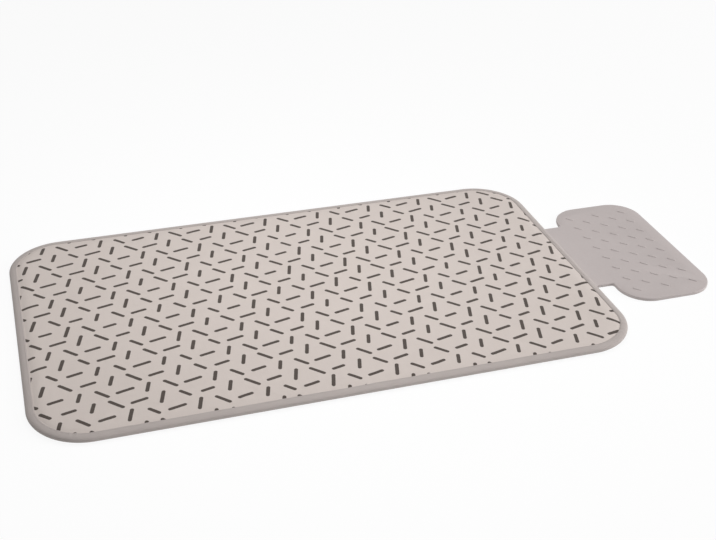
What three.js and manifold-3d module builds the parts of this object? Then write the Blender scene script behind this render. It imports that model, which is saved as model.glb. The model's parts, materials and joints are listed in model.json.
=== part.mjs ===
// Ironing pad: a cloth, film, foam and felt mat with a bound edge, and at one short end a moulded silicone
// rest on a flexible neck, which folds up beside the edge and over onto the mat.
// Millimetres, +Z up. The origin is the middle of the pad's underside, and +X points towards the rest.

import * as THREE from 'three';
import { mergeVertices } from 'three/addons/utils/BufferGeometryUtils.js';
import Module from 'manifold-3d';

// Pad, measured over its binding
const PAD_LENGTH = 1000;
const PAD_WIDTH = 600;
const CORNER_RADIUS = 94;

// Layers, from the table up
const BACKING_THICKNESS = 0.8;
const FELT_THICKNESS = 3.5;
const FOAM_THICKNESS = 6.5;
const FILM_THICKNESS = 0.3;
const COVER_THICKNESS = 0.6;
const LAYER_GAP = 0.2;

// How much the two soft layers are pressed down where the edge is bound, and how far in that shows
const FELT_SQUEEZE = 1.3;
const FOAM_SQUEEZE = 3.1;
const EDGE_SLOPE = 22;

// Binding tape and its seam
const TAPE_THICKNESS = 0.8;
const TAPE_REACH = 13;
const SEAM_MARGIN = 1.8;
const THREAD_WIDTH = 0.8;
const THREAD_THICKNESS = 0.35;

// Silicone rest: sewn flange, flexible neck and plate
const REST_OFFSET = -4.7;
const NECK_WIDTH = 217;
const NECK_LENGTH = 35.7;
const NECK_FILLET = 5;
const RISER_WIDTH = 3;
const WEB_THICKNESS = 2.4;
const FOLD_GROOVE = 2;
const FOLD_ROOM = 1;
const EDGE_CLEARANCE = 0.4;
const FLANGE_SKIN = 0.35;
const GROOVE_PLAY = 0.3;
const THREAD_RECESS = 0.1;
const SEAM_END = 6;
const PLATE_LENGTH = 176.2;
const PLATE_WIDTH = 344.5;
const PLATE_SHIFT = -4;
const PLATE_CORNER = 54;
const PLATE_THICKNESS = 6;
const PLATE_EASE = 1.2;
const MOULD_SPLIT = 0.3;

// Raised ribs that stand proud of the plate
const RIB_LENGTH = 16;
const RIB_WIDTH = 5;
const RIB_HEIGHT = 1;
const RIB_ROOT = 0.5;
const RIB_COLUMN_PITCH = 28.5;
const RIB_ROW_PITCH = 38.5;
const RIB_BORDER = 12;
const RIB_TURN = -Math.PI / 4;

// Faceting of the round stretches
const CORNER_STEPS = 8;
const BEND_STEPS = 8;
const ARC_STEPS = 8;
const RIB_STEPS = 4;
const SLOPE_STEPS = 3;

const wasm = await Module();
wasm.setup();

// Each layer's height in the flat middle of the pad and at its bound edge

const grooveDepth = THREAD_RECESS + THREAD_THICKNESS + LAYER_GAP;
const flangeThickness = grooveDepth + FLANGE_SKIN;
const tapeBottom = flangeThickness + LAYER_GAP;

const layers = [
  { name: 'backing_cloth', thickness: BACKING_THICKNESS, squeeze: 0, colour: 0x8f8a86, roughness: 0.9 },
  { name: 'felt_layer', thickness: FELT_THICKNESS, squeeze: FELT_SQUEEZE, colour: 0xb9b4ac, roughness: 1 },
  { name: 'foam_layer', thickness: FOAM_THICKNESS, squeeze: FOAM_SQUEEZE, colour: 0xd8d2c4, roughness: 0.95 },
  {
    name: 'reflective_film', thickness: FILM_THICKNESS, squeeze: 0,
    colour: 0xc9ccd0, roughness: 0.3, metalness: 0.9,
  },
  { name: 'top_cover', thickness: COVER_THICKNESS, squeeze: 0, colour: 0xcfc5be, roughness: 0.9 },
];

let flatHeight = 0;
let edgeHeight = tapeBottom + TAPE_THICKNESS + LAYER_GAP;
for (const layer of layers) {
  layer.flat = [flatHeight, flatHeight + layer.thickness];
  layer.edge = [edgeHeight, edgeHeight + layer.thickness - layer.squeeze];
  flatHeight = layer.flat[1] + LAYER_GAP;
  edgeHeight = layer.edge[1] + LAYER_GAP;
}

// The tape folds round the edge as a half circle from its lower leg to its upper one
const tapeTop = edgeHeight + TAPE_THICKNESS;
const bendRadius = (tapeTop - tapeBottom) / 2;
const bendHeight = (tapeTop + tapeBottom) / 2;
const seamInset = TAPE_REACH - SEAM_MARGIN;

// A ring of points round the pad, a given distance in from its edge

function ringPoints(inset, z) {
  const radius = CORNER_RADIUS - inset;
  const x = PAD_LENGTH / 2 - CORNER_RADIUS;
  const y = PAD_WIDTH / 2 - CORNER_RADIUS;
  const points = [];
  [[1, 1], [-1, 1], [-1, -1], [1, -1]].forEach(([sideX, sideY], quarter) => {
    for (let step = 0; step <= CORNER_STEPS; step++) {
      const angle = (quarter + step / CORNER_STEPS) * (Math.PI / 2);
      points.push([sideX * x + radius * Math.cos(angle), sideY * y + radius * Math.sin(angle), z]);
    }
  });
  return points;
}

// A solid swept round the pad from a section of [inset, height] points, listed outwards along the
// bottom, up the edge and back in along the top. A hoop joins its last point to its first; a slab is
// closed across the middle instead.

function sweptRound(section, hoop) {
  const rings = section.map(([inset, z]) => ringPoints(inset, z));
  const count = rings[0].length;
  const corner = (ring, i) => ring * count + (i % count);
  const triangles = [];
  const bands = hoop ? rings.length : rings.length - 1;
  for (let band = 0; band < bands; band++) {
    const next = (band + 1) % rings.length;
    for (let i = 0; i < count; i++) {
      triangles.push(corner(band, i), corner(band, i + 1), corner(next, i + 1));
      triangles.push(corner(band, i), corner(next, i + 1), corner(next, i));
    }
  }
  if (!hoop) {
    const last = rings.length - 1;
    for (let i = 1; i < count - 1; i++) {
      triangles.push(corner(0, 0), corner(0, i + 1), corner(0, i));
      triangles.push(corner(last, 0), corner(last, i), corner(last, i + 1));
    }
  }
  const geometry = new THREE.BufferGeometry();
  geometry.setAttribute('position', new THREE.Float32BufferAttribute(rings.flat(2), 3));
  geometry.setIndex(triangles);
  return geometry;
}

// A layer keeps its full height in the middle and thins towards the bound edge, where it stops just
// inside the flats of the tape's fold.

function layerSolid({ flat, edge }) {
  const innerBend = (bendRadius - TAPE_THICKNESS) * Math.cos(Math.PI / (2 * BEND_STEPS));
  const room = innerBend - LAYER_GAP / 2;
  const reach = Math.max(Math.abs(edge[0] - bendHeight), Math.abs(edge[1] - bendHeight));
  const cutInset = bendRadius - Math.sqrt(Math.max(room ** 2 - reach ** 2, 0));
  const profile = (side) => {
    const points = [[cutInset, edge[side]]];
    for (let step = 0; step <= SLOPE_STEPS; step++) {
      const share = step / SLOPE_STEPS;
      const rise = THREE.MathUtils.smoothstep(share, 0, 1);
      points.push([TAPE_REACH + EDGE_SLOPE * share, THREE.MathUtils.lerp(edge[side], flat[side], rise)]);
    }
    return points;
  };
  return sweptRound([...profile(0).reverse(), ...profile(1)], false);
}

// The tape: a lower leg, a half-round fold over the cut edges, and an upper leg

function bindingTape() {
  const arc = (radius, from, to) => {
    const points = [];
    for (let step = 0; step <= BEND_STEPS; step++) {
      const angle = THREE.MathUtils.lerp(from, to, step / BEND_STEPS);
      points.push([bendRadius - radius * Math.cos(angle), bendHeight + radius * Math.sin(angle)]);
    }
    return points;
  };
  return sweptRound([
    [TAPE_REACH, tapeBottom],
    ...arc(bendRadius, -Math.PI / 2, Math.PI / 2),
    [TAPE_REACH, tapeTop],
    [TAPE_REACH, tapeTop - TAPE_THICKNESS],
    ...arc(bendRadius - TAPE_THICKNESS, Math.PI / 2, -Math.PI / 2),
    [TAPE_REACH, tapeBottom + TAPE_THICKNESS],
  ], true);
}

// One thread of the binding's seam, a flat line that runs all the way round

function seamThread(bottom) {
  const inner = seamInset + THREAD_WIDTH / 2;
  const outer = seamInset - THREAD_WIDTH / 2;
  const top = bottom + THREAD_THICKNESS;
  return sweptRound([[inner, bottom], [outer, bottom], [outer, top], [inner, top]], true);
}

// A bar of constant [x, z] profile that runs along Y, centred

function barAcross(profile, width) {
  const shape = new THREE.Shape(profile.map(([x, z]) => new THREE.Vector2(x, z)));
  const geometry = new THREE.ExtrudeGeometry(shape, { depth: width, bevelEnabled: false });
  return geometry.rotateX(Math.PI / 2).translate(0, width / 2, 0);
}

// Joining and cutting closed solids

function toSolid(geometry) {
  const bare = geometry.clone();
  bare.deleteAttribute('normal');
  bare.deleteAttribute('uv');
  const merged = mergeVertices(bare);
  return new wasm.Manifold(new wasm.Mesh({
    numProp: 3,
    vertProperties: new Float32Array(merged.attributes.position.array),
    triVerts: new Uint32Array(merged.index.array),
  }));
}

function toGeometry(solid) {
  const mesh = solid.getMesh();
  const geometry = new THREE.BufferGeometry();
  geometry.setAttribute('position', new THREE.BufferAttribute(mesh.vertProperties, 3));
  geometry.setIndex(new THREE.BufferAttribute(mesh.triVerts, 1));
  return geometry;
}

// Silicone rest, in a frame of its own: X runs out from the pad's edge and Y is measured from the
// middle of the neck.

const flangeEnd = seamInset - THREAD_WIDTH / 2 - MOULD_SPLIT;
const restSeam = flangeEnd - SEAM_MARGIN - THREAD_WIDTH / 2;
const plateEnd = NECK_LENGTH + PLATE_LENGTH;
const plateHigh = PLATE_SHIFT + PLATE_WIDTH / 2;
const plateLow = PLATE_SHIFT - PLATE_WIDTH / 2;
const plateOverhang = Math.min(plateHigh, -plateLow) - NECK_WIDTH / 2;

// The moulding rises beside the binding to the plate's full height, and thins to a web at two fold lines,
// which turn on its upper face. They are as far apart as brings the plate to lie just above the pad.
const padTop = layers.at(-1).flat[1];
const webBottom = PLATE_THICKNESS - WEB_THICKNESS;
const riserEnd = EDGE_CLEARANCE + RISER_WIDTH;
const rootFold = riserEnd + MOULD_SPLIT;
const plateFold = rootFold + padTop + FOLD_ROOM + RIB_HEIGHT - PLATE_THICKNESS;
const plateStart = plateFold + MOULD_SPLIT;
const foldGroove = Math.min(FOLD_GROOVE, RISER_WIDTH * 0.75, (plateFold - rootFold) / 3);

// The thin margin that is sewn under the binding, with a groove that sinks its thread, and the riser beside
// it up to the first fold

function restFlange() {
  const grooveHalf = THREAD_WIDTH / 2 + GROOVE_PLAY;
  return barAcross([
    [-flangeEnd, 0],
    [-restSeam - grooveHalf, 0],
    [-restSeam - grooveHalf, grooveDepth],
    [-restSeam + grooveHalf, grooveDepth],
    [-restSeam + grooveHalf, 0],
    [riserEnd - foldGroove, 0],
    [riserEnd, webBottom],
    [riserEnd, PLATE_THICKNESS],
    [EDGE_CLEARANCE, PLATE_THICKNESS],
    [EDGE_CLEARANCE, flangeThickness],
    [-flangeEnd, flangeThickness],
  ], NECK_WIDTH);
}

// The neck between its two fold lines, level with the plate on top and grooved below both

function restNeck() {
  const near = rootFold + MOULD_SPLIT;
  const far = plateFold - MOULD_SPLIT;
  return barAcross([
    [near + foldGroove, 0],
    [far - foldGroove, 0],
    [far, webBottom],
    [far, PLATE_THICKNESS],
    [near, PLATE_THICKNESS],
    [near, webBottom],
  ], NECK_WIDTH);
}

// Plan of the plate with the thick end of the neck, as one outline with rounded corners

function plateOutline(start) {
  const neckHalf = NECK_WIDTH / 2;
  const fillet = Math.min(NECK_FILLET, plateOverhang / 2);
  const corner = Math.min(PLATE_CORNER, plateOverhang - fillet, PLATE_LENGTH / 2);
  const quarter = Math.PI / 2;
  const shape = new THREE.Shape();
  shape.moveTo(start, -neckHalf);
  shape.absarc(NECK_LENGTH - fillet, -neckHalf - fillet, fillet, quarter, 0, true);
  shape.absarc(NECK_LENGTH + corner, plateLow + corner, corner, 2 * quarter, 3 * quarter, false);
  shape.absarc(plateEnd - corner, plateLow + corner, corner, 3 * quarter, 4 * quarter, false);
  shape.absarc(plateEnd - corner, plateHigh - corner, corner, 0, quarter, false);
  shape.absarc(NECK_LENGTH + corner, plateHigh - corner, corner, quarter, 2 * quarter, false);
  shape.absarc(NECK_LENGTH - fillet, neckHalf + fillet, fillet, 0, -quarter, true);
  shape.lineTo(start, neckHalf);
  return shape;
}

// A rib is a raised pill, rooted a little way down in the plate

function ribSolid(x, y, turn) {
  const straight = (RIB_LENGTH - RIB_WIDTH) / 2;
  const shape = new THREE.Shape();
  shape.absarc(straight, 0, RIB_WIDTH / 2, -Math.PI / 2, Math.PI / 2, false);
  shape.absarc(-straight, 0, RIB_WIDTH / 2, Math.PI / 2, Math.PI * 1.5, false);
  const depth = RIB_ROOT + RIB_HEIGHT;
  const geometry = new THREE.ExtrudeGeometry(shape, { depth, bevelEnabled: false, curveSegments: RIB_STEPS });
  return toSolid(geometry.rotateZ(turn).translate(x, y, PLATE_THICKNESS - RIB_ROOT));
}

// Ribs lie aslant in staggered columns, wherever a whole rib clears the plate's rounded border

function ribPlaces() {
  const clear = RIB_BORDER + RIB_LENGTH / 2;
  const halfX = PLATE_LENGTH / 2 - clear;
  const halfY = PLATE_WIDTH / 2 - clear;
  const round = Math.max(Math.min(PLATE_CORNER, plateOverhang, PLATE_LENGTH / 2) - clear, 0);
  const middle = NECK_LENGTH + PLATE_LENGTH / 2;
  const columns = Math.floor(halfX / RIB_COLUMN_PITCH);
  const rows = Math.ceil(halfY / RIB_ROW_PITCH);
  const places = [];
  for (let column = -columns; column <= columns; column++) {
    for (let row = -rows; row <= rows; row++) {
      const x = column * RIB_COLUMN_PITCH;
      const y = (row + (column % 2 ? 0 : 0.5)) * RIB_ROW_PITCH;
      const overX = Math.max(Math.abs(x) - (halfX - round), 0);
      const overY = Math.max(Math.abs(y) - (halfY - round), 0);
      if (Math.hypot(overX, overY) > round) continue;
      places.push([middle + x, PLATE_SHIFT + y, RIB_TURN]);
    }
  }
  return places;
}

// The plate with eased edges and its ribs, cut square at its fold line and grooved below it to the web

function restPlate() {
  const overcut = PLATE_THICKNESS;
  const slab = new THREE.ExtrudeGeometry(plateOutline(plateStart - overcut), {
    depth: PLATE_THICKNESS - 2 * PLATE_EASE,
    bevelThickness: PLATE_EASE,
    bevelSize: PLATE_EASE,
    bevelOffset: -PLATE_EASE,
    bevelSegments: 1,
    curveSegments: ARC_STEPS,
  }).translate(0, 0, PLATE_EASE);
  const cutter = barAcross([
    [plateStart - 2 * overcut, -PLATE_THICKNESS],
    [plateStart + foldGroove, -PLATE_THICKNESS],
    [plateStart + foldGroove, 0],
    [plateStart, webBottom],
    [plateStart, 2 * PLATE_THICKNESS],
    [plateStart - 2 * overcut, 2 * PLATE_THICKNESS],
  ], 2 * NECK_WIDTH);
  let plate = toSolid(slab).subtract(toSolid(cutter));
  for (const place of ribPlaces()) plate = plate.add(ribSolid(...place));
  return toGeometry(plate);
}

// One thread of the short seam that holds the flange to the bound edge

function restThread(bottom) {
  const near = -restSeam - THREAD_WIDTH / 2;
  const far = -restSeam + THREAD_WIDTH / 2;
  const top = bottom + THREAD_THICKNESS;
  return barAcross([[near, bottom], [far, bottom], [far, top], [near, top]], NECK_WIDTH - 2 * SEAM_END);
}

// Assembly

function piece(name, geometry, { colour, roughness, metalness = 0 }) {
  const material = new THREE.MeshStandardMaterial({ color: colour, roughness, metalness });
  const mesh = new THREE.Mesh(geometry, material);
  mesh.name = name;
  return mesh;
}

const tapeCloth = { colour: 0xafa5a1, roughness: 0.85 };
const sewingThread = { colour: 0xa89e9a, roughness: 0.7 };
const silicone = { colour: 0xb7aeac, roughness: 0.6 };

const pad = new THREE.Group();
for (const layer of layers) pad.add(piece(layer.name, layerSolid(layer), layer));
pad.add(piece('edge_binding', bindingTape(), tapeCloth));
pad.add(piece('binding_needle_thread', seamThread(tapeTop + LAYER_GAP), sewingThread));
pad.add(piece('binding_bobbin_thread', seamThread(tapeBottom - LAYER_GAP - THREAD_THICKNESS), sewingThread));

const ironRest = new THREE.Group();
ironRest.position.set(PAD_LENGTH / 2, REST_OFFSET, 0);
ironRest.add(piece('iron_rest_flange', restFlange(), silicone));
ironRest.add(piece('iron_rest_neck', restNeck(), silicone));
ironRest.add(piece('iron_rest_plate', restPlate(), silicone));
ironRest.add(piece('rest_needle_thread', restThread(tapeTop + LAYER_GAP), sewingThread));
ironRest.add(piece('rest_bobbin_thread', restThread(THREAD_RECESS), sewingThread));

const ironingPad = new THREE.Group();
ironingPad.add(pad, ironRest);

export default ironingPad;
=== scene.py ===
import json
import math

import bpy
import numpy as np
from mathutils import Matrix, Vector


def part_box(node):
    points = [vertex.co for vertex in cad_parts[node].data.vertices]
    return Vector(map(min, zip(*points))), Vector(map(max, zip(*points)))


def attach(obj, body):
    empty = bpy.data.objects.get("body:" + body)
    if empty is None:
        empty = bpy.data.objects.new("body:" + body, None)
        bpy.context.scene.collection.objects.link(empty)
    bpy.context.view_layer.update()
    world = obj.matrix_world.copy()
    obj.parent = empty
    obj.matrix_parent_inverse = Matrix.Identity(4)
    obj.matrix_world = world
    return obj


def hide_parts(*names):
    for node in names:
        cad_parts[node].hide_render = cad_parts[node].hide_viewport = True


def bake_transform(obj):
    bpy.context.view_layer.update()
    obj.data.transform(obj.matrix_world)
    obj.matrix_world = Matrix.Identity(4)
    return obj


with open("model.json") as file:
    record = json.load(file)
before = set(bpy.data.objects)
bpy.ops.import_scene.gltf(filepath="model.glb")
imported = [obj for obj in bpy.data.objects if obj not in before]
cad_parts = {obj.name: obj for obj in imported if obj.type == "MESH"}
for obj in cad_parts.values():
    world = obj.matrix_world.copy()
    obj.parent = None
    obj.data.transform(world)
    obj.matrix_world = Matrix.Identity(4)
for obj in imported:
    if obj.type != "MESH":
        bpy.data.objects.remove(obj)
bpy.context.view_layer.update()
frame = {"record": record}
bpy.context.scene.view_settings.view_transform = "Standard"

# The camera looks down on the pad from beyond its near left corner, through a short telephoto lens.
# Its place and turn come from a fit to the straight edges of the pad and of the rest in the photograph.
heading, dip, lean = math.radians(18.169), math.radians(31.069), math.radians(1.280)
stand_point = (-0.4607, -1.6708, 1.0999)
bpy.ops.object.camera_add()
camera = bpy.context.object
camera.matrix_world = (
    Matrix.Translation(stand_point)
    @ Matrix.Rotation(-heading, 4, "Z")
    @ Matrix.Rotation(math.pi / 2 - dip, 4, "X")
    @ Matrix.Rotation(lean, 4, "Z")
)
camera.data.sensor_width = 36
camera.data.lens = 58.55
bpy.context.scene.camera = camera

# The studio is a white sweep under a pale sky of soft light, with one softbox above the pad and another low
# and far off on its right. Sweep and sky look white to the eye and in gloss, and the sweep keeps a faint
# shadow of the pad.


class Finish:
    """The nodes of one material, or of the sky."""

    def __init__(self, owner):
        self.owner = owner
        owner.use_nodes = True
        self.tree = owner.node_tree
        self.tree.nodes.clear()

    def node(self, kind, settings=None, sockets=(), outputs=0):
        """Adds a node: first its settings, then values or links on its sockets. Gives what it puts out."""
        node = self.tree.nodes.new(kind)
        for name, value in (settings or {}).items():
            if name == "stops":
                for stop, (at, colour) in zip(node.color_ramp.elements, value):
                    stop.position, stop.color = at, colour
            else:
                setattr(node, name, value)
        for key, value in sockets.items() if isinstance(sockets, dict) else enumerate(sockets):
            if isinstance(value, Socket):
                self.tree.links.new(value.end, node.inputs[key])
            else:
                node.inputs[key].default_value = value
        if isinstance(outputs, tuple):
            return [Socket(self, node.outputs[output]) for output in outputs]
        return Socket(self, node.outputs[outputs]) if node.outputs else None


class Socket:
    """A value in a finish, for sums written as Python expressions."""

    def __init__(self, finish, end):
        self.finish, self.end = finish, end

    def maths(self, operation, *values, clamp=False):
        return self.finish.node("ShaderNodeMath", {"operation": operation, "use_clamp": clamp}, values)

    def __add__(self, other):
        return self.maths("ADD", self, other)

    def __radd__(self, other):
        return self.maths("ADD", other, self)

    def __sub__(self, other):
        return self.maths("SUBTRACT", self, other)

    def __rsub__(self, other):
        return self.maths("SUBTRACT", other, self)

    def __mul__(self, other):
        return self.maths("MULTIPLY", self, other)

    def __truediv__(self, other):
        return self.maths("DIVIDE", self, other)

    def __mod__(self, other):
        return self.maths("MODULO", self, other)

    def __floordiv__(self, other):
        return self.maths("FLOOR", self / other)

    def __abs__(self):
        return self.maths("ABSOLUTE", self)

    def clipped(self):
        return self.maths("ADD", self, 0, clamp=True)


def to_the_eye(finish):
    """1 for rays from the camera, also by way of gloss or glass, and 0 for rays that light the pad."""
    seen, glossy, clear = finish.node(
        "ShaderNodeLightPath", outputs=("Is Camera Ray", "Is Glossy Ray", "Is Transmission Ray")
    )
    return (seen + glossy + clear).clipped()


SKY_LIGHT = 0.34
SWEEP_SHARE = 0.91
SWEEP_RADIUS, SWEEP_DROP = 9, 0.0004
WHITE, PAPER = (1, 1, 1, 1), (0.96, 0.96, 0.96, 1)
# Each softbox has its place, its width and length, and its power in watts.
SOFTBOXES = (((0.02, 0.08, 1.0), (0.8, 0.7), 6.0), ((4.6, -1.2, 1.6), (2.4, 2.4), 170))

sky = Finish(bpy.data.worlds.new("studio_sky"))
bpy.context.scene.world = sky.owner
sky_lit = sky.node("ShaderNodeBackground", sockets={"Strength": SKY_LIGHT, "Color": WHITE})
sky_white = sky.node("ShaderNodeBackground", sockets={"Strength": 1, "Color": WHITE})
sky_shown = sky.node("ShaderNodeMixShader", sockets=(to_the_eye(sky), sky_lit, sky_white))
sky.node("ShaderNodeOutputWorld", sockets={"Surface": sky_shown})

for place, size, watts in SOFTBOXES:
    bpy.ops.object.light_add(type="AREA", location=place)
    softbox = bpy.context.object
    softbox.rotation_euler = (-Vector(place)).to_track_quat("-Z", "Y").to_euler()
    softbox.data.shape = "RECTANGLE"
    softbox.data.size, softbox.data.size_y = size
    softbox.data.energy = watts

bpy.ops.object.select_all(action="DESELECT")
bpy.ops.mesh.primitive_circle_add(
    vertices=96, radius=SWEEP_RADIUS, fill_type="NGON", location=(0.1, 0, -SWEEP_DROP)
)
sweep = bpy.context.object
sweep.name = "studio_sweep"
paper = Finish(bpy.data.materials.new("sweep_paper"))
paper_lit = paper.node("ShaderNodeBsdfDiffuse", sockets={"Color": PAPER})
paper_white = paper.node("ShaderNodeEmission", sockets={"Color": WHITE, "Strength": 1})
paper_share = to_the_eye(paper) * SWEEP_SHARE
paper_shown = paper.node("ShaderNodeMixShader", sockets=(paper_share, paper_lit, paper_white))
paper.node("ShaderNodeOutputMaterial", sockets={"Surface": paper_shown})
sweep.data.materials.append(paper.owner)

# Backing cloth: a close plain weave of dull grey cotton, the face that lies on the table. It is cut to a
# rounded rectangle, and its margin is lifted where the binding folds round it.
PAD_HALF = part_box("edge_binding")[1]
PAD_CORNER = 0.094
TAPE_REACH = 0.013
EDGE_SLOPE = 0.022
SLOPE_STEPS, LAYER_CREASE = 8, math.radians(40)
# Gap: painted shade between the weave's threads. Dark and pale: the cloth's own uneven tone.
COTTON_GAP_SHADE = (0.20, 0.19, 0.175, 1)
COTTON_DARK, COTTON_PALE = (0.25, 0.235, 0.22, 1), (0.36, 0.34, 0.32, 1)


def choose_faces(piece, wanted):
    """In edit mode, selects the faces for which wanted(centre, normal) is true."""
    bpy.ops.mesh.select_mode(type="FACE")
    bpy.ops.mesh.select_all(action="DESELECT")
    bpy.ops.object.mode_set(mode="OBJECT")
    for face in piece.data.polygons:
        face.select = wanted(face.center, face.normal)
    bpy.ops.object.mode_set(mode="EDIT")


def smoothstep(share):
    share = np.clip(share, 0, 1)
    return share * share * (3 - 2 * share)


def cut_layer(name, node, edge, middle):
    """A layer of the pad in the CAD node's plan, from lower to upper height at its edge and its middle."""
    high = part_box(node)[1]
    bpy.ops.object.select_all(action="DESELECT")
    bpy.ops.mesh.primitive_plane_add(size=1)
    layer = bpy.context.object
    layer.name = layer.data.name = name
    bpy.ops.object.mode_set(mode="EDIT")
    bpy.ops.transform.resize(value=(2 * high.x, 2 * high.y, 1))
    bpy.ops.transform.translate(value=(0, 0, edge[0]))
    margin = PAD_HALF.x - high.x
    bpy.ops.mesh.bevel(affect="VERTICES", offset=PAD_CORNER - margin, segments=16, profile=0.5)
    bpy.ops.mesh.select_all(action="SELECT")
    bpy.ops.mesh.extrude_region_move(TRANSFORM_OT_translate={"value": (0, 0, edge[1] - edge[0])})
    for side, rise in ((1, middle[1] - edge[1]), (-1, edge[0] - middle[0])):
        choose_faces(layer, lambda centre, normal: normal.z * side > 0.5)
        bpy.ops.mesh.inset(thickness=TAPE_REACH - margin)
        climbed = 0
        for step in range(1, SLOPE_STEPS + 1):
            height = rise * float(smoothstep(step / SLOPE_STEPS))
            bpy.ops.mesh.inset(thickness=EDGE_SLOPE / SLOPE_STEPS, depth=height - climbed)
            climbed = height
    bpy.ops.mesh.select_all(action="SELECT")
    bpy.ops.mesh.normals_make_consistent(inside=False)
    bpy.ops.object.mode_set(mode="OBJECT")
    bpy.ops.object.shade_smooth_by_angle(angle=LAYER_CREASE)
    return layer


def plain_weave(finish, place, pitch):
    """Height of a plain weave, 0 to 1: each thread arches over its neighbours by turns."""
    x, y = finish.node("ShaderNodeSeparateXYZ", sockets=(place,), outputs=(0, 1))
    x_turn, y_turn = x * (math.pi / pitch), y * (math.pi / pitch)
    warp, weft = x_turn.maths("SINE", x_turn), y_turn.maths("SINE", y_turn)
    over = (warp * weft * 1.5 + 0.5).clipped()
    return abs(warp) * over + abs(weft) * (1 - over)


def object_place(finish):
    return finish.node("ShaderNodeTexCoord", outputs="Object")


def speckle(finish, place, scale, detail=2.0):
    """Soft irregular variation, about 0.5 on average; scale is in grains per metre."""
    return finish.node("ShaderNodeTexNoise", sockets={"Vector": place, "Scale": scale, "Detail": detail})


def stretched(finish, place, scale):
    return finish.node("ShaderNodeMapping", sockets={"Vector": place, "Scale": scale})


def mixed(finish, share, one, other):
    return finish.node("ShaderNodeMix", {"data_type": "RGBA"}, {0: share, 6: one, 7: other}, 2)


def relief(finish, height, depth, below=None):
    sockets = {"Height": height, "Distance": depth, "Strength": 1}
    if below:
        sockets["Normal"] = below
    return finish.node("ShaderNodeBump", sockets=sockets)


def dress(piece, finish, slot, **sockets):
    """Ends a finish in its shader, and gives it to a piece as its only material; the slot is not used."""
    names = {key.replace("_", " ").title().replace("Ior", "IOR"): value for key, value in sockets.items()}
    shader = finish.node("ShaderNodeBsdfPrincipled", sockets=names)
    finish.node("ShaderNodeOutputMaterial", sockets={"Surface": shader})
    piece.data.materials.clear()
    piece.data.materials.append(finish.owner)


backing = cut_layer("pad_backing", "backing_cloth", edge=(0.0022, 0.0030), middle=(0, 0.0008))
cotton = Finish(bpy.data.materials.new("backing_cotton"))
place = object_place(cotton)
weave = plain_weave(cotton, place, pitch=0.0009)
slub = speckle(cotton, stretched(cotton, place, (40, 900, 1)), 1.0)
fade = speckle(cotton, place, 9.0)
shade = mixed(cotton, (slub * 0.6 + fade * 0.7 - 0.15).clipped(), COTTON_DARK, COTTON_PALE)
# Where the weave dips between threads the colour turns to the gap colour, a painted shade.
dress(
    backing, cotton, "backing", base_color=mixed(cotton, weave, COTTON_GAP_SHADE, shade),
    roughness=0.86 + slub * 0.12, specular_ior_level=0.25, sheen_weight=0.15,
    normal=relief(cotton, weave + slub * 0.4, depth=0.00012),
)
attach(backing, "pad")
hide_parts("backing_cloth")

# Felt: grey needled wool and polyester, which spreads the pressure. It is punched from a roll, and the
# binding's seam squeezes its margin.
FELT_DARK, FELT_PALE = (0.40, 0.37, 0.33, 1), (0.56, 0.53, 0.49, 1)

felt = cut_layer("pad_felt", "felt_layer", edge=(0.0032, 0.0054), middle=(0.0010, 0.0045))
wool = Finish(bpy.data.materials.new("needled_felt"))
place = object_place(wool)
fibre = speckle(wool, place, 420.0, 6.0)
tuft = speckle(wool, place, 60.0)
dress(
    felt, wool, "felt", base_color=mixed(wool, fibre * 0.8 + tuft * 0.3, FELT_DARK, FELT_PALE),
    roughness=0.93 + fibre * 0.06, specular_ior_level=0.15, sheen_weight=0.3,
    normal=relief(wool, fibre + tuft * 0.5, depth=0.0004),
)
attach(felt, "pad")
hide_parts("felt_layer")

# Foam: open-cell wadding in the middle of the pad. It is cut from a block, so its faces show the halves of
# cut cells, and it thins under the seam.
FOAM_DARK, FOAM_PALE = (0.58, 0.53, 0.44, 1), (0.74, 0.70, 0.61, 1)

foam = cut_layer("pad_foam", "foam_layer", edge=(0.0056, 0.0081), middle=(0.0047, 0.0112))
wadding = Finish(bpy.data.materials.new("open_cell_foam"))
place = object_place(wadding)
# The cells give the relief and a painted shade too: the colour darkens into each cell's hollow.
cell = wadding.node("ShaderNodeTexVoronoi", sockets={"Vector": place, "Scale": 900.0})
mottle = speckle(wadding, place, 25.0)
dress(
    foam, wadding, "foam", base_color=mixed(wadding, cell * 0.9 + mottle * 0.3, FOAM_DARK, FOAM_PALE),
    roughness=0.9 + mottle * 0.08, specular_ior_level=0.2, normal=relief(wadding, cell, depth=0.0005),
)
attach(foam, "pad")
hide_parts("foam_layer")

# Reflective film: metallised polyester laid on the foam, bright side up, to send heat back to the cloth
# above. Handling leaves it finely creased.
FILM_DULL, FILM_BRIGHT = (0.50, 0.52, 0.55, 1), (0.70, 0.72, 0.75, 1)

film = cut_layer("pad_film", "reflective_film", edge=(0.0082, 0.0085), middle=(0.0114, 0.0117))
foil = Finish(bpy.data.materials.new("metallised_film"))
place = object_place(foil)
crease = foil.node(
    "ShaderNodeTexVoronoi", {"feature": "DISTANCE_TO_EDGE"}, {"Vector": place, "Scale": 70.0}
)
haze = speckle(foil, place, 30.0, 4.0)
dress(
    film, foil, "film", base_color=mixed(foil, haze, FILM_DULL, FILM_BRIGHT), metallic=1.0,
    roughness=0.22 + haze * 0.2, normal=relief(foil, crease + haze * 0.4, depth=0.0006),
)
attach(film, "pad")
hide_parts("reflective_film")

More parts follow.
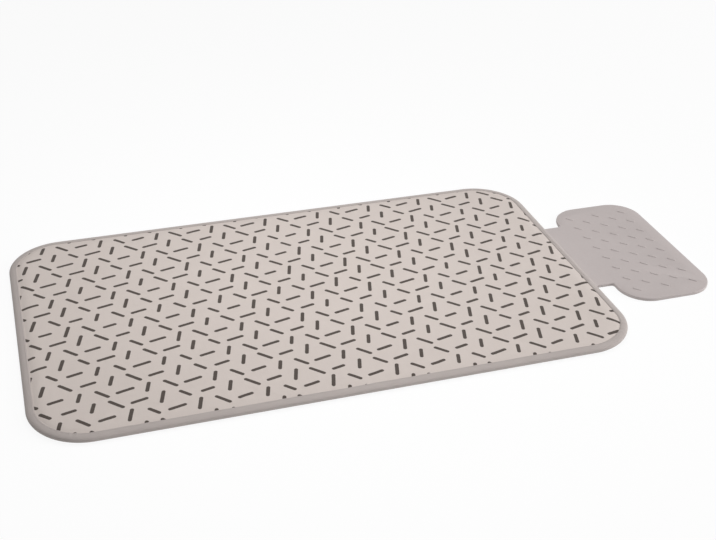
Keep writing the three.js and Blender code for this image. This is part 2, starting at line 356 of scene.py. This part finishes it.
# Top cover: cream cotton in plain weave, stretched over the pad and held in the binding. Its margin has a
# little ease, which the seam gathers into faint puckers, and it is printed all over with short dashes.
COVER_CELL = 0.004
COVER_THICKNESS, CLOTH_CREASE = 0.0006, math.radians(60)
COVER_FLAT, SWELL_POWER = 0.0128, 2.5
TAPE_THICKNESS, TAPE_GAP = 0.0008, 0.00005
SEAM_INSET = 0.0112
TAPE_TOP, FOLD_HEIGHT, CROWN_POWER = 0.01135, 0.00625, 2.5
HELD_PAST_TAPE = 0.0005
EASE_DEPTH, EASE_GROWTH = 0.055, 0.002
FIRST_NUDGE, PUCKER_LIMIT = 0.00004, 0.0003
LOOSE_PIN, SETTLE_FRAMES = 0.16, 20
WAVE_HEIGHT, WAVE_START, WAVE_RUN = 0.0002, 0.018, 0.08
DASH_PITCH = (0.035, 0.031)
DASH_HALF_WIDTH = 0.0031
DASH_HALF_LENGTH = (0.0085, 0.0042)
DASH_TURN = math.radians(60)
DASH_START = math.radians(14)
GROUND = (0.600, 0.530, 0.492, 1)
GROUND_PALE = (0.665, 0.592, 0.552, 1)
INK = (0.060, 0.046, 0.038, 1)
INK_WORN = (0.095, 0.076, 0.065, 1)
INK_EDGE, INK_BLEED = 0.0003, 0.0006


def inset_at(x, y):
    """How far points of the pad lie in from its edge."""
    over_x = np.abs(x) - (PAD_HALF.x - PAD_CORNER)
    over_y = np.abs(y) - (PAD_HALF.y - PAD_CORNER)
    outside = np.hypot(np.maximum(over_x, 0), np.maximum(over_y, 0))
    return PAD_CORNER - outside - np.minimum(np.maximum(over_x, over_y), 0)


def crown_at(inset, inner=0.0):
    """Height of the binding's upper face, or of a face that far inside it, at an inset from the edge."""
    out = np.clip((TAPE_REACH - inset) / (TAPE_REACH - inner), 0, 1)
    return FOLD_HEIGHT + (TAPE_TOP - inner - FOLD_HEIGHT) * (1 - out**CROWN_POWER) ** (1 / CROWN_POWER)


def active(piece):
    bpy.ops.object.select_all(action="DESELECT")
    piece.select_set(True)
    bpy.context.view_layer.objects.active = piece


def points_of(piece):
    points = np.empty(3 * len(piece.data.vertices))
    piece.data.vertices.foreach_get("co", points)
    return points.reshape(-1, 3)


def set_points(piece, points):
    piece.data.vertices.foreach_set("co", np.ascontiguousarray(points, dtype=np.float64).ravel())
    piece.data.update()


def weigh(piece, name, weights):
    group = piece.vertex_groups.new(name=name)
    for index, weight in enumerate(weights):
        if weight > 0.001:
            group.add([index], float(weight), "REPLACE")


def ripple(x, y, seed, waves, shortest, longest):
    """A smooth irregular field about -1 to 1, from a few crossing waves of the given lengths."""
    draw = np.random.RandomState(seed)
    field = np.zeros_like(x)
    for _ in range(waves):
        length = draw.uniform(shortest, longest)
        turn, phase = draw.uniform(0, 2 * math.pi, 2)
        field += np.sin(2 * math.pi / length * (x * math.cos(turn) + y * math.sin(turn)) + phase)
    return field / math.sqrt(waves / 2) / 2


cover_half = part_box("top_cover")[1]
bpy.ops.object.select_all(action="DESELECT")
cover_columns, cover_rows = round(2 * cover_half.x / COVER_CELL), round(2 * cover_half.y / COVER_CELL)
bpy.ops.mesh.primitive_grid_add(x_subdivisions=cover_columns, y_subdivisions=cover_rows, size=2)
cover = bpy.context.object
cover.name = cover.data.name = "pad_cover"
points = points_of(cover) * (cover_half.x, cover_half.y, 0)
cover_corner = PAD_CORNER - (PAD_HALF.x - cover_half.x)
past = np.maximum(np.abs(points[:, :2]) - (cover_half.x - cover_corner, cover_half.y - cover_corner), 0)
past /= cover_corner
rounded = past * np.sqrt(1 - past[:, ::-1] ** 2 / 2)
points[:, :2] += np.sign(points[:, :2]) * (rounded - past) * cover_corner
cover_inset = inset_at(points[:, 0], points[:, 1])
swell = 1 - (1 - np.clip((cover_inset - TAPE_REACH) / EDGE_SLOPE, 0, 1)) ** SWELL_POWER
margin = crown_at(np.minimum(cover_inset, TAPE_REACH), TAPE_THICKNESS + TAPE_GAP)
points[:, 2] = margin + (COVER_FLAT - margin) * swell
set_points(cover, points)

held = cover_inset < TAPE_REACH + HELD_PAST_TAPE
weigh(cover, "held", np.where(held, 1.0, LOOSE_PIN))
weigh(cover, "taut", np.clip((cover_inset - TAPE_REACH) / EASE_DEPTH, 0, 1))
uneven = ripple(points[:, 0], points[:, 1], seed=3, waves=24, shortest=0.012, longest=0.03)
nudged = points.copy()
nudged[:, 2] += np.where(held, 0, FIRST_NUDGE * uneven)
set_points(cover, nudged)
drape = cover.modifiers.new("ease", "CLOTH")
drape.settings.quality = 4
drape.settings.mass = 0.1
drape.settings.tension_stiffness = drape.settings.compression_stiffness = 20
drape.settings.shear_stiffness = 8
drape.settings.bending_stiffness = 1.5
drape.settings.vertex_group_mass = "held"
drape.settings.pin_stiffness = 0.6
drape.settings.vertex_group_shrink = "taut"
drape.settings.shrink_min, drape.settings.shrink_max = -EASE_GROWTH, 0
drape.settings.effector_weights.gravity = 0
drape.collision_settings.use_collision = False
drape.collision_settings.use_self_collision = False
drape.point_cache.frame_start, drape.point_cache.frame_end = 1, SETTLE_FRAMES
for moment in range(1, SETTLE_FRAMES + 1):
    bpy.context.scene.frame_set(moment)
active(cover)
bpy.ops.object.modifier_apply(modifier="ease")
bpy.context.scene.frame_set(1)
moved = (points_of(cover) - points).reshape(cover_rows + 1, cover_columns + 1, 3)
for along in (0, 1, 0, 1):
    moved = (np.roll(moved, 1, along) + 2 * moved + np.roll(moved, -1, along)) / 4
moved = np.where(held[:, None], 0, moved.reshape(-1, 3))
away = np.linalg.norm(moved, axis=1, keepdims=True)
points = points + moved * np.minimum(1, PUCKER_LIMIT / np.maximum(away, 1e-9))
wave = ripple(points[:, 0], points[:, 1], seed=8, waves=9, shortest=0.12, longest=0.35)
points[:, 2] += WAVE_HEIGHT * smoothstep((cover_inset - WAVE_START) / WAVE_RUN) * wave
set_points(cover, points)
cover.vertex_groups.clear()
active(cover)
wall = cover.modifiers.new("cloth", "SOLIDIFY")
wall.thickness, wall.offset = COVER_THICKNESS, -1
bpy.ops.object.modifier_apply(modifier="cloth")
bpy.ops.object.shade_smooth_by_angle(angle=CLOTH_CREASE)

print_cloth = Finish(bpy.data.materials.new("printed_cotton"))
place = object_place(print_cloth)
weave = plain_weave(print_cloth, place, pitch=0.0006)
slub = speckle(print_cloth, stretched(print_cloth, place, (30, 700, 1)), 1.0)
slub_across = speckle(print_cloth, stretched(print_cloth, place, (700, 30, 1)), 1.0)
cloud = speckle(print_cloth, place, 7.0)
x, y = print_cloth.node("ShaderNodeSeparateXYZ", sockets=(place,), outputs=(0, 1))
bleed = (speckle(print_cloth, place, 500.0) - 0.5) * INK_BLEED
row = y // DASH_PITCH[1]
along = x / DASH_PITCH[0] + (row % 2) * 0.5
column = along // 1
right = (along - column - 0.5) * DASH_PITCH[0]
up = (y / DASH_PITCH[1] - row - 0.5) * DASH_PITCH[1]
turn = (row + column) * DASH_TURN + DASH_START
lot = print_cloth.node(
    "ShaderNodeTexWhiteNoise", {"noise_dimensions": "2D"},
    (print_cloth.node("ShaderNodeCombineXYZ", sockets=(column, row)),),
)
cosine, sine = turn.maths("COSINE", turn), turn.maths("SINE", turn)
length_side = abs(right * cosine + up * sine) - (lot * DASH_HALF_LENGTH[1] + DASH_HALF_LENGTH[0])
past_end = length_side.maths("MAXIMUM", length_side, 0)
width_side = up * cosine - right * sine
from_spine = past_end.maths("SQRT", past_end * past_end + width_side * width_side)
ink = ((DASH_HALF_WIDTH - from_spine + bleed) / INK_EDGE + 0.5).clipped()
pale = (slub * 0.5 + slub_across * 0.5 + cloud * 0.5 - 0.25).clipped()
ground = mixed(print_cloth, pale, GROUND, GROUND_PALE)
inked = mixed(print_cloth, (slub * slub_across + weave * 0.25).clipped(), INK, INK_WORN)
dress(
    cover, print_cloth, "cover", base_color=mixed(print_cloth, ink, ground, inked),
    roughness=0.84 + slub * 0.12, specular_ior_level=0.25, sheen_weight=0.12,
    normal=relief(print_cloth, weave + slub * 0.5 + slub_across * 0.5, depth=0.00010),
)
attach(cover, "pad")
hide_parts("top_cover")

# Edge binding: a woven cotton tape with turned-in edges, folded round all the layers and sewn through
# from above. Each stitch draws it down a little, and it gathers where it turns the corners.
TAPE_LOW = 0.0012
STITCH_LENGTH = 0.0032
STITCH_DRAW, DRAW_BETWEEN = 0.00022, 0.35
SEAM_DIMPLE, SEAM_WAVER = 0.0010, 0.00025
CORNER_GATHER, GATHER_WAVES, GATHER_PEAK = 0.00030, 7, 3
GATHER_LENGTHS, WAVER_COUNTS = (0.008, 0.014), (6, 40)
LAST_PHASE = 6.28
LEG_START = 0.003
CROWN_POINTS, CROWN_SPACING, ROLL_POINTS = 11, 0.8, 7
UNDER_LEG = (0.0082, SEAM_INSET, TAPE_REACH)
TAPE_DARK, TAPE_PALE = (0.423, 0.374, 0.354, 1), (0.496, 0.443, 0.420, 1)


def round_the_pad(count):
    """Places spread evenly along the binding's seam: the middle of each turn, and the way outwards."""
    far = Vector((PAD_HALF.x - PAD_CORNER, PAD_HALF.y - PAD_CORNER))
    middles = np.array([(far.x, -far.y), (far.x, far.y), (-far.x, far.y), (-far.x, -far.y), (far.x, -far.y)])
    quarter = (PAD_CORNER - SEAM_INSET) * math.pi / 2
    knots, path, angles = [0.0], [middles[0]], [0.0]
    for side in range(4):
        knots.append(knots[-1] + np.linalg.norm(middles[side + 1] - middles[side]))
        knots.append(knots[-1] + quarter)
        path += [middles[side + 1]] * 2
        angles += [side * math.pi / 2, (side + 1) * math.pi / 2]
    run = knots[-1] * np.arange(count) / count
    path = np.array(path)
    middle = np.column_stack([np.interp(run, knots, path[:, axis]) for axis in (0, 1)])
    angle = np.interp(run, knots, angles)
    return run, middle, np.column_stack([np.cos(angle), np.sin(angle)]), knots


seam_length = round_the_pad(1)[3][-1]
stitch_count = round(seam_length / STITCH_LENGTH)
tape_run, tape_middle, tape_out, tape_knots = round_the_pad(2 * stitch_count)


def wrapped(inner):
    """The tape's section from its upper edge round the fold to its lower edge, that far inside its face."""
    radius = FOLD_HEIGHT - TAPE_LOW - inner
    crown = np.sin(math.pi / 2 * np.arange(CROWN_POINTS) / CROWN_POINTS) ** CROWN_SPACING
    insets = TAPE_REACH - (TAPE_REACH - inner) * crown
    under = math.pi / 2 * np.arange(ROLL_POINTS) / (ROLL_POINTS - 1)
    rolled = np.column_stack([radius * (1 - np.cos(under)) + inner, FOLD_HEIGHT - radius * np.sin(under)])
    flat = [(inset, TAPE_LOW + inner) for inset in UNDER_LEG]
    return list(zip(insets, crown_at(insets, inner))) + rolled.tolist() + flat


outer, inner = wrapped(0), wrapped(TAPE_THICKNESS)[::-1]
half = TAPE_THICKNESS / 2
slant = half * 0.7
turned_in = [(TAPE_REACH + slant, slant), (TAPE_REACH + half, 0), (TAPE_REACH + slant, -slant)]
outer += [(inset, TAPE_LOW + half - lift) for inset, lift in turned_in]
inner += [(inset, TAPE_TOP - half - lift) for inset, lift in turned_in]
section = np.array(outer + inner)

corner_share = np.zeros(len(tape_run))
for side in range(4):
    start, end = tape_knots[2 * side + 1], tape_knots[2 * side + 2]
    inside = (tape_run >= start) & (tape_run <= end)
    corner_share[inside] = np.sin(math.pi * (tape_run[inside] - start) / (end - start)) ** 0.5
draw = np.random.RandomState(5)
gather = np.zeros(len(tape_run))
waver = np.zeros(len(tape_run))
for _ in range(GATHER_WAVES):
    gather += np.sin(2 * math.pi / draw.uniform(*GATHER_LENGTHS) * tape_run + draw.uniform(0, LAST_PHASE))
    turns = draw.randint(*WAVER_COUNTS)
    waver += np.sin(2 * math.pi * turns / seam_length * tape_run + draw.uniform(0, LAST_PHASE))
gather, waver = gather / GATHER_PEAK, waver / GATHER_PEAK
at_hole = np.where(np.arange(len(tape_run)) % 2 == 0, 1.0, DRAW_BETWEEN)

leg_share = np.clip((section[:, 0] - LEG_START) / (TAPE_REACH - LEG_START), 0, 1)
upper = np.where(section[:, 1] > FOLD_HEIGHT, 1.0, -1.0)
near_seam = np.exp(-(((section[:, 0] - SEAM_INSET) / SEAM_DIMPLE) ** 2))
inset = section[None, :, 0] + (waver * SEAM_WAVER)[:, None] * leg_share
height = section[None, :, 1] + (corner_share * gather * CORNER_GATHER)[:, None] * leg_share * (upper > 0)
height = height - STITCH_DRAW * at_hole[:, None] * near_seam * upper
tape_points = np.empty((len(tape_run), len(section), 3))
tape_points[:, :, :2] = tape_middle[:, None] + tape_out[:, None] * (PAD_CORNER - inset)[:, :, None]
tape_points[:, :, 2] = height


def loft(name, rings):
    """A closed hoop through rings of points, and the four points of each of its faces."""
    count, size = rings.shape[:2]
    index = np.arange(count * size).reshape(count, size)
    after, beside = np.roll(index, -1, axis=0), np.roll(index, -1, axis=1)
    both = np.roll(after, -1, axis=1)
    faces = np.stack([index, beside, both, after], axis=-1).reshape(-1, 4)
    mesh = bpy.data.meshes.new(name)
    mesh.from_pydata(rings.reshape(-1, 3).tolist(), [], faces.tolist())
    piece = bpy.data.objects.new(name, mesh)
    bpy.context.scene.collection.objects.link(piece)
    return piece, faces


binding, tape_faces = loft("pad_binding", tape_points)
across = np.concatenate([[0], np.cumsum(np.linalg.norm(np.diff(section, axis=0), axis=1))])
step_run, step_across = seam_length / len(tape_run), np.linalg.norm(section[0] - section[-1])
tape_map = binding.data.uv_layers.new(name="UVMap")  # in metres along and across the tape
ring_of, point_of = tape_faces // len(section), tape_faces % len(section)
along_u = tape_run[ring_of]
along_u[:, 2:] = along_u[:, :1] + step_run
across_v = across[point_of]
across_v[:, 1:3] = np.where(point_of[:, 1:3] == 0, across[-1] + step_across, across_v[:, 1:3])
tape_map.data.foreach_set("uv", np.stack([along_u, across_v], axis=-1).ravel())
active(binding)
bpy.ops.object.mode_set(mode="EDIT")
bpy.ops.mesh.select_all(action="SELECT")
bpy.ops.mesh.normals_make_consistent(inside=False)
bpy.ops.object.mode_set(mode="OBJECT")
bpy.ops.object.shade_smooth_by_angle(angle=CLOTH_CREASE)

webbing = Finish(bpy.data.materials.new("binding_tape"))
along_tape = webbing.node("ShaderNodeUVMap", {"uv_map": "UVMap"})
place = object_place(webbing)
weave = plain_weave(webbing, along_tape, pitch=0.0007)
thread_run = speckle(webbing, stretched(webbing, along_tape, (40, 900, 1)), 1.0)
wear = speckle(webbing, place, 35.0)
tone = (thread_run * 0.7 + wear * 0.6 - 0.15).clipped()
dress(
    binding, webbing, "tape", base_color=mixed(webbing, tone, TAPE_DARK, TAPE_PALE),
    roughness=0.80 + wear * 0.14, specular_ior_level=0.3, sheen_weight=0.15,
    normal=relief(webbing, weave + thread_run * 0.6, depth=0.00012),
)
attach(binding, "pad")
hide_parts("edge_binding")

# Binding seam: a lockstitch in matching polyester thread, with the needle thread on top and the bobbin
# thread underneath. Each stitch is a short arch that dives into the tape at both ends.
THREAD_HALF, THREAD_ARCH = 0.00024, 2.2
STITCH_HALF = STITCH_LENGTH * 0.47
STITCH_SINK = STITCH_DRAW * 0.4
THREAD_DARK, THREAD_PALE = (0.37, 0.32, 0.303, 1), (0.50, 0.44, 0.418, 1)


def stitch():
    """One stitch at the origin, along X and arched in Z."""
    bpy.ops.object.select_all(action="DESELECT")
    bpy.ops.mesh.primitive_uv_sphere_add(segments=6, ring_count=7, radius=1, rotation=(0, math.pi / 2, 0))
    bpy.ops.object.transform_apply(location=True, rotation=True, scale=True)
    one = bpy.context.object
    bpy.ops.object.mode_set(mode="EDIT")
    bpy.ops.transform.resize(value=(STITCH_HALF, THREAD_HALF * 1.25, THREAD_HALF))
    bpy.ops.object.mode_set(mode="OBJECT")
    bend = points_of(one)
    bend[:, 2] += THREAD_HALF * (1.0 - THREAD_ARCH * (bend[:, 0] / STITCH_HALF) ** 2)
    set_points(one, bend)
    return one


def sew(name, places, directions, height, side):
    """Copies of one stitch along a seam, on its upper or lower side, as one piece."""
    pattern = stitch()
    shape = points_of(pattern)
    faces = [tuple(face.vertices) for face in pattern.data.polygons]
    bpy.data.objects.remove(pattern, do_unlink=True)
    across = np.column_stack([-directions[:, 1], directions[:, 0]])
    verts = np.empty((len(places), len(shape), 3))
    along_seam = places[:, None] + shape[None, :, :1] * directions[:, None]
    verts[:, :, :2] = along_seam + side * shape[None, :, 1:2] * across[:, None]
    verts[:, :, 2] = height + side * shape[None, :, 2]
    corners = [tuple(i + n * len(shape) for i in face) for n in range(len(places)) for face in faces]
    mesh = bpy.data.meshes.new(name)
    mesh.from_pydata(verts.reshape(-1, 3).tolist(), [], corners)
    for face in mesh.polygons:
        face.use_smooth = True
    piece = bpy.data.objects.new(name, mesh)
    bpy.context.scene.collection.objects.link(piece)
    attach(piece, "pad")
    return piece


def sewing_thread(piece, name):
    twist = Finish(bpy.data.materials.new(name))
    place = object_place(twist)
    ply = speckle(twist, place, 2600.0)
    lot = speckle(twist, place, 120.0)
    dress(
        piece, twist, "thread", base_color=mixed(twist, ply * 0.6 + lot * 0.4, THREAD_DARK, THREAD_PALE),
        roughness=0.5 + ply * 0.25, specular_ior_level=0.4, sheen_weight=0.1,
        normal=relief(twist, ply, depth=0.00008),
    )


stitch_middle = tape_middle[1::2] + tape_out[1::2] * (PAD_CORNER - SEAM_INSET)
stitch_way = np.column_stack([-tape_out[1::2][:, 1], tape_out[1::2][:, 0]])
seam_height = float(crown_at(SEAM_INSET)) - STITCH_SINK
seam_top = sew("binding_stitches", stitch_middle, stitch_way, seam_height, 1)
sewing_thread(seam_top, "binding_needle_polyester")
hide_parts("binding_needle_thread")
seam_low = sew("binding_stitches_under", stitch_middle, stitch_way, TAPE_LOW + STITCH_SINK, -1)
sewing_thread(seam_low, "binding_bobbin_polyester")
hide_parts("binding_bobbin_thread")

# Iron rest: one compression moulding in warm grey silicone. A thin margin is sewn under the binding, and a
# flexible neck runs out from it to a plate with eased edges, on which low ribs stand aslant.
plate_low, plate_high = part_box("iron_rest_plate")
flange_low, flange_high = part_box("iron_rest_flange")
NECK_MIDDLE, NECK_HALF = (flange_low.y + flange_high.y) / 2, (flange_high.y - flange_low.y) / 2
PLATE_MIDDLE, PLATE_HALF = (plate_low.y + plate_high.y) / 2, (plate_high.y - plate_low.y) / 2
PLATE_NEAR, PLATE_FAR = 0.5357, plate_high.x
PLATE_CORNER, NECK_FILLET, NECK_OVERLAP = 0.054, 0.005, 0.01
PLATE_THICKNESS, PLATE_EASE, EASE_SHARE = 0.006, 0.0014, 0.45
EASE_START, EASE_RUN = 0.5006, 0.0015
RIB_LENGTH, RIB_WIDTH, RIB_HEIGHT, RIB_SINK = 0.016, 0.005, 0.001, 0.0008
RIB_PITCH, RIB_STEPS = (0.0285, 0.0385), 5
RIB_COLUMNS, RIB_ROWS = range(-2, 3), (8, 7)
RIB_TURN = math.radians(-45)
# Stations along the neck, with the heights of its lower and upper face: the thread's groove in the thin
# margin, and the round step by the binding. A fold's groove is given from its middle outwards.
NECK_PROFILE = [
    (0.4894, 0, 0.0010), (0.49095, 0, 0.0010), (0.4910, 0.00065, 0.0010), (0.4924, 0.00065, 0.0010),
    (0.49245, 0, 0.0010), (0.5003, 0, 0.0010), (0.50045, 0, 0.0048), (0.5007, 0, 0.0056),
    (0.5012, 0, 0.0060),
]
HALF_GROOVE = ((0.0001, 0.0036), (0.0003, 0.0032), (0.0006, 0.0018), (0.0010, 0.0003), (0.0012, 0))
FOLD_LEAD, FOLD_STEP, FOLD_LOOPS = 0.0003, 0.0004, 13
SAME_PLACE = 1e-5
hinges = {joint["name"]: Vector(joint["pos_m"]) for joint in frame["record"]["behaviour"]["joints"]}
at_edge, at_plate = hinges["neck_fold"], hinges["rest_fold"]
for fold_line in (at_edge, at_plate):
    NECK_PROFILE += [(fold_line.x - off, low, PLATE_THICKNESS) for off, low in reversed(HALF_GROOVE)]
    NECK_PROFILE += [(fold_line.x + off, low, PLATE_THICKNESS) for off, low in HALF_GROOVE]


def blank(name, near, far, middle, half_width):
    """One flat face from near to far along X, in edit mode, to be cut and raised to a block."""
    bpy.ops.object.select_all(action="DESELECT")
    bpy.ops.mesh.primitive_plane_add(size=1)
    block = bpy.context.object
    block.name = block.data.name = name
    bpy.ops.object.mode_set(mode="EDIT")
    bpy.ops.transform.resize(value=(far - near, 2 * half_width, 1))
    bpy.ops.transform.translate(value=((near + far) / 2, middle, 0))
    return block


def raise_block(thickness):
    bpy.ops.mesh.select_all(action="SELECT")
    bpy.ops.mesh.extrude_region_move(TRANSFORM_OT_translate={"value": (0, 0, thickness)})
    bpy.ops.mesh.select_all(action="SELECT")
    bpy.ops.mesh.normals_make_consistent(inside=False)
    bpy.ops.object.mode_set(mode="OBJECT")


def join_block(piece, block):
    active(piece)
    join = piece.modifiers.new("join", "BOOLEAN")
    join.operation, join.solver, join.object = "UNION", "EXACT", block
    bpy.ops.object.modifier_apply(modifier="join")
    bpy.data.objects.remove(block, do_unlink=True)


rest = blank("rest_plate", PLATE_NEAR, PLATE_FAR, PLATE_MIDDLE, PLATE_HALF)
bpy.ops.mesh.bevel(affect="VERTICES", offset=PLATE_CORNER, segments=18, profile=0.5)
raise_block(PLATE_THICKNESS)
neck = blank("rest_neck", flange_low.x, PLATE_NEAR + NECK_OVERLAP, NECK_MIDDLE, NECK_HALF)
raise_block(PLATE_THICKNESS)
join_block(rest, neck)

active(rest)
bpy.ops.object.mode_set(mode="EDIT")
bpy.ops.mesh.select_mode(type="EDGE")
bpy.ops.mesh.select_all(action="DESELECT")
bpy.ops.object.mode_set(mode="OBJECT")
for edge in rest.data.edges:
    one, two = (rest.data.vertices[i].co for i in edge.vertices)
    at_root = max(abs(one.x - PLATE_NEAR), abs(two.x - PLATE_NEAR)) < SAME_PLACE
    at_side = abs(abs((one.y + two.y) / 2 - NECK_MIDDLE) - NECK_HALF) < SAME_PLACE
    edge.select = at_root and at_side and abs(one.z - two.z) > PLATE_THICKNESS / 2
bpy.ops.object.mode_set(mode="EDIT")
bpy.ops.mesh.bevel(affect="EDGES", offset=NECK_FILLET, segments=8, profile=0.5)
stations = [x for x, _, _ in NECK_PROFILE[1:]]
for fold_line in (at_edge, at_plate):
    stations += [fold_line.x - FOLD_LEAD + FOLD_STEP * step for step in range(FOLD_LOOPS)]
for station in sorted(stations):
    bpy.ops.mesh.select_all(action="SELECT")
    bpy.ops.mesh.bisect(plane_co=(station, 0, 0), plane_no=(1, 0, 0))
bpy.ops.object.mode_set(mode="OBJECT")
shape = points_of(rest)
profile = np.array(NECK_PROFILE)
lowest = np.interp(shape[:, 0], profile[:, 0], profile[:, 1])
highest = np.interp(shape[:, 0], profile[:, 0], profile[:, 2])
shape[:, 2] = lowest + (highest - lowest) * shape[:, 2] / PLATE_THICKNESS
set_points(rest, shape)

weights = rest.data.attributes.new("bevel_weight_edge", "FLOAT", "EDGE")
normals = {}
for face in rest.data.polygons:
    for key in face.edge_keys:
        normals.setdefault(key, []).append(face.normal.copy())
for edge, weight in zip(rest.data.edges, weights.data):
    at = sum(rest.data.vertices[i].co.x for i in edge.vertices) / 2
    one, two = normals[edge.key]
    sharp, upright = one.dot(two) < 0.5, min(abs(one.z), abs(two.z)) < 0.1
    rim = sharp and upright and abs(one.z - two.z) > 0.3
    thick = np.interp(at, profile[:, 0], profile[:, 2] - profile[:, 1])
    clear_of_tape = float(smoothstep((at - EASE_START) / EASE_RUN))
    weight.value = min(1.0, EASE_SHARE * float(thick) / PLATE_EASE) * clear_of_tape if rim else 0.0
active(rest)
ease = rest.modifiers.new("ease", "BEVEL")
ease.limit_method, ease.width, ease.segments = "WEIGHT", PLATE_EASE, 3
ease.use_clamp_overlap = False
bpy.ops.object.modifier_apply(modifier="ease")

bpy.ops.object.select_all(action="DESELECT")
bpy.ops.mesh.primitive_circle_add(vertices=20, radius=RIB_WIDTH / 2, fill_type="NGON")
rib = bpy.context.object
bpy.ops.object.mode_set(mode="EDIT")
bpy.ops.mesh.select_mode(type="VERT")
for side in (1, -1):
    bpy.ops.mesh.select_all(action="DESELECT")
    bpy.ops.object.mode_set(mode="OBJECT")
    for vertex in rib.data.vertices:
        vertex.select = vertex.co.x * side > 1e-6
    bpy.ops.object.mode_set(mode="EDIT")
    bpy.ops.transform.translate(value=(side * (RIB_LENGTH - RIB_WIDTH) / 2, 0, 0))
bpy.ops.mesh.select_mode(type="FACE")
bpy.ops.mesh.select_all(action="SELECT")
bpy.ops.mesh.extrude_region_move(TRANSFORM_OT_translate={"value": (0, 0, RIB_SINK)})
climbed = drawn_in = 0
for step in range(1, RIB_STEPS + 1):
    height = RIB_HEIGHT * math.sin(math.pi / 2 * step / RIB_STEPS)
    inward = RIB_HEIGHT * (1 - math.cos(math.pi / 2 * step / RIB_STEPS))
    bpy.ops.mesh.inset(thickness=inward - drawn_in, depth=height - climbed)
    climbed, drawn_in = height, inward
bpy.ops.mesh.select_all(action="SELECT")
bpy.ops.mesh.normals_make_consistent(inside=False)
bpy.ops.object.mode_set(mode="OBJECT")
rib_shape = points_of(rib)
rib_faces = [tuple(face.vertices) for face in rib.data.polygons]
bpy.data.objects.remove(rib, do_unlink=True)
cosine, sine = math.cos(RIB_TURN), math.sin(RIB_TURN)
rib_shape[:, :2] = rib_shape[:, :2] @ np.array([[cosine, sine], [-sine, cosine]])
rib_points, ribs_faces = [], []
for column in RIB_COLUMNS:
    rows = RIB_ROWS[column % 2]
    for row in range(rows):
        centre = (
            (PLATE_NEAR + PLATE_FAR) / 2 + column * RIB_PITCH[0],
            PLATE_MIDDLE + (row - (rows - 1) / 2) * RIB_PITCH[1], PLATE_THICKNESS - RIB_SINK,
        )
        ribs_faces += [tuple(i + len(rib_points) * len(rib_shape) for i in face) for face in rib_faces]
        rib_points.append(rib_shape + centre)
rib_mesh = bpy.data.meshes.new("rest_ribs")
rib_mesh.from_pydata(np.concatenate(rib_points).tolist(), [], ribs_faces)
ribs = bpy.data.objects.new("rest_ribs", rib_mesh)
bpy.context.scene.collection.objects.link(ribs)
join_block(rest, ribs)

# The moulding is cut across its neck between its two fold grooves: one half holds the groove at the pad's
# edge, and the other the groove where the neck meets the plate.
NECK_CUT, MOULD_CREASE = 0.5088, math.radians(35)
SILICONE_DARK, SILICONE_PALE = (0.458, 0.408, 0.398, 1), (0.520, 0.466, 0.455, 1)

root = rest.copy()
root.data = rest.data.copy()
root.name = root.data.name = "rest_neck_root"
bpy.context.scene.collection.objects.link(root)
for half_piece, drop_far in ((root, True), (rest, False)):
    active(half_piece)
    bpy.ops.object.mode_set(mode="EDIT")
    bpy.ops.mesh.select_all(action="SELECT")
    bpy.ops.mesh.bisect(
        plane_co=(NECK_CUT, 0, 0), plane_no=(1, 0, 0), use_fill=True, clear_outer=drop_far,
        clear_inner=not drop_far, threshold=1e-6,
    )
    bpy.ops.object.mode_set(mode="OBJECT")
    bpy.ops.object.shade_smooth_by_angle(angle=MOULD_CREASE)


def silicone(piece, name):
    rubber = Finish(bpy.data.materials.new(name))
    place = object_place(rubber)
    grain = speckle(rubber, place, 1400.0, 3.0)
    bloom = speckle(rubber, place, 14.0, 3.0)
    dust = speckle(rubber, place, 160.0, 4.0)
    tone = (bloom * 0.8 + dust * 0.35 - 0.1).clipped()
    dress(
        piece, rubber, "silicone", base_color=mixed(rubber, tone, SILICONE_DARK, SILICONE_PALE),
        roughness=0.46 + grain * 0.12 + bloom * 0.10, specular_ior_level=0.35,
        normal=relief(rubber, grain + dust * 0.5, depth=0.00004),
    )


silicone(root, "rest_root_silicone")
silicone(rest, "rest_plate_silicone")
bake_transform(root)
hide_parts("iron_rest_flange", "iron_rest_neck")
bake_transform(rest)
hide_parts("iron_rest_plate")

# Rest seam: a second short row of lockstitch through the binding, the pad and the rest's thin margin. Its
# bobbin thread lies in a groove of the silicone, clear of the table.
BOBBIN_LIFT = 0.0001
thread_low, thread_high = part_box("rest_needle_thread")
seam_x = (thread_low.x + thread_high.x) / 2
rest_run = thread_high.y - thread_low.y
rest_stitches = round(rest_run / STITCH_LENGTH)
rest_rows = thread_low.y + rest_run * (np.arange(rest_stitches) + 0.5) / rest_stitches
rest_places = np.column_stack([np.full(rest_stitches, seam_x), rest_rows])
rest_ways = np.tile([0.0, 1.0], (rest_stitches, 1))
rest_top = sew("rest_stitches", rest_places, rest_ways, float(crown_at(PAD_HALF.x - seam_x)), 1)
sewing_thread(rest_top, "rest_needle_polyester")
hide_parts("rest_needle_thread")
rest_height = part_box("rest_bobbin_thread")[1].z + BOBBIN_LIFT
rest_under = sew("rest_stitches_under", rest_places, rest_ways, rest_height, -1)
sewing_thread(rest_under, "rest_bobbin_polyester")
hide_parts("rest_bobbin_thread")
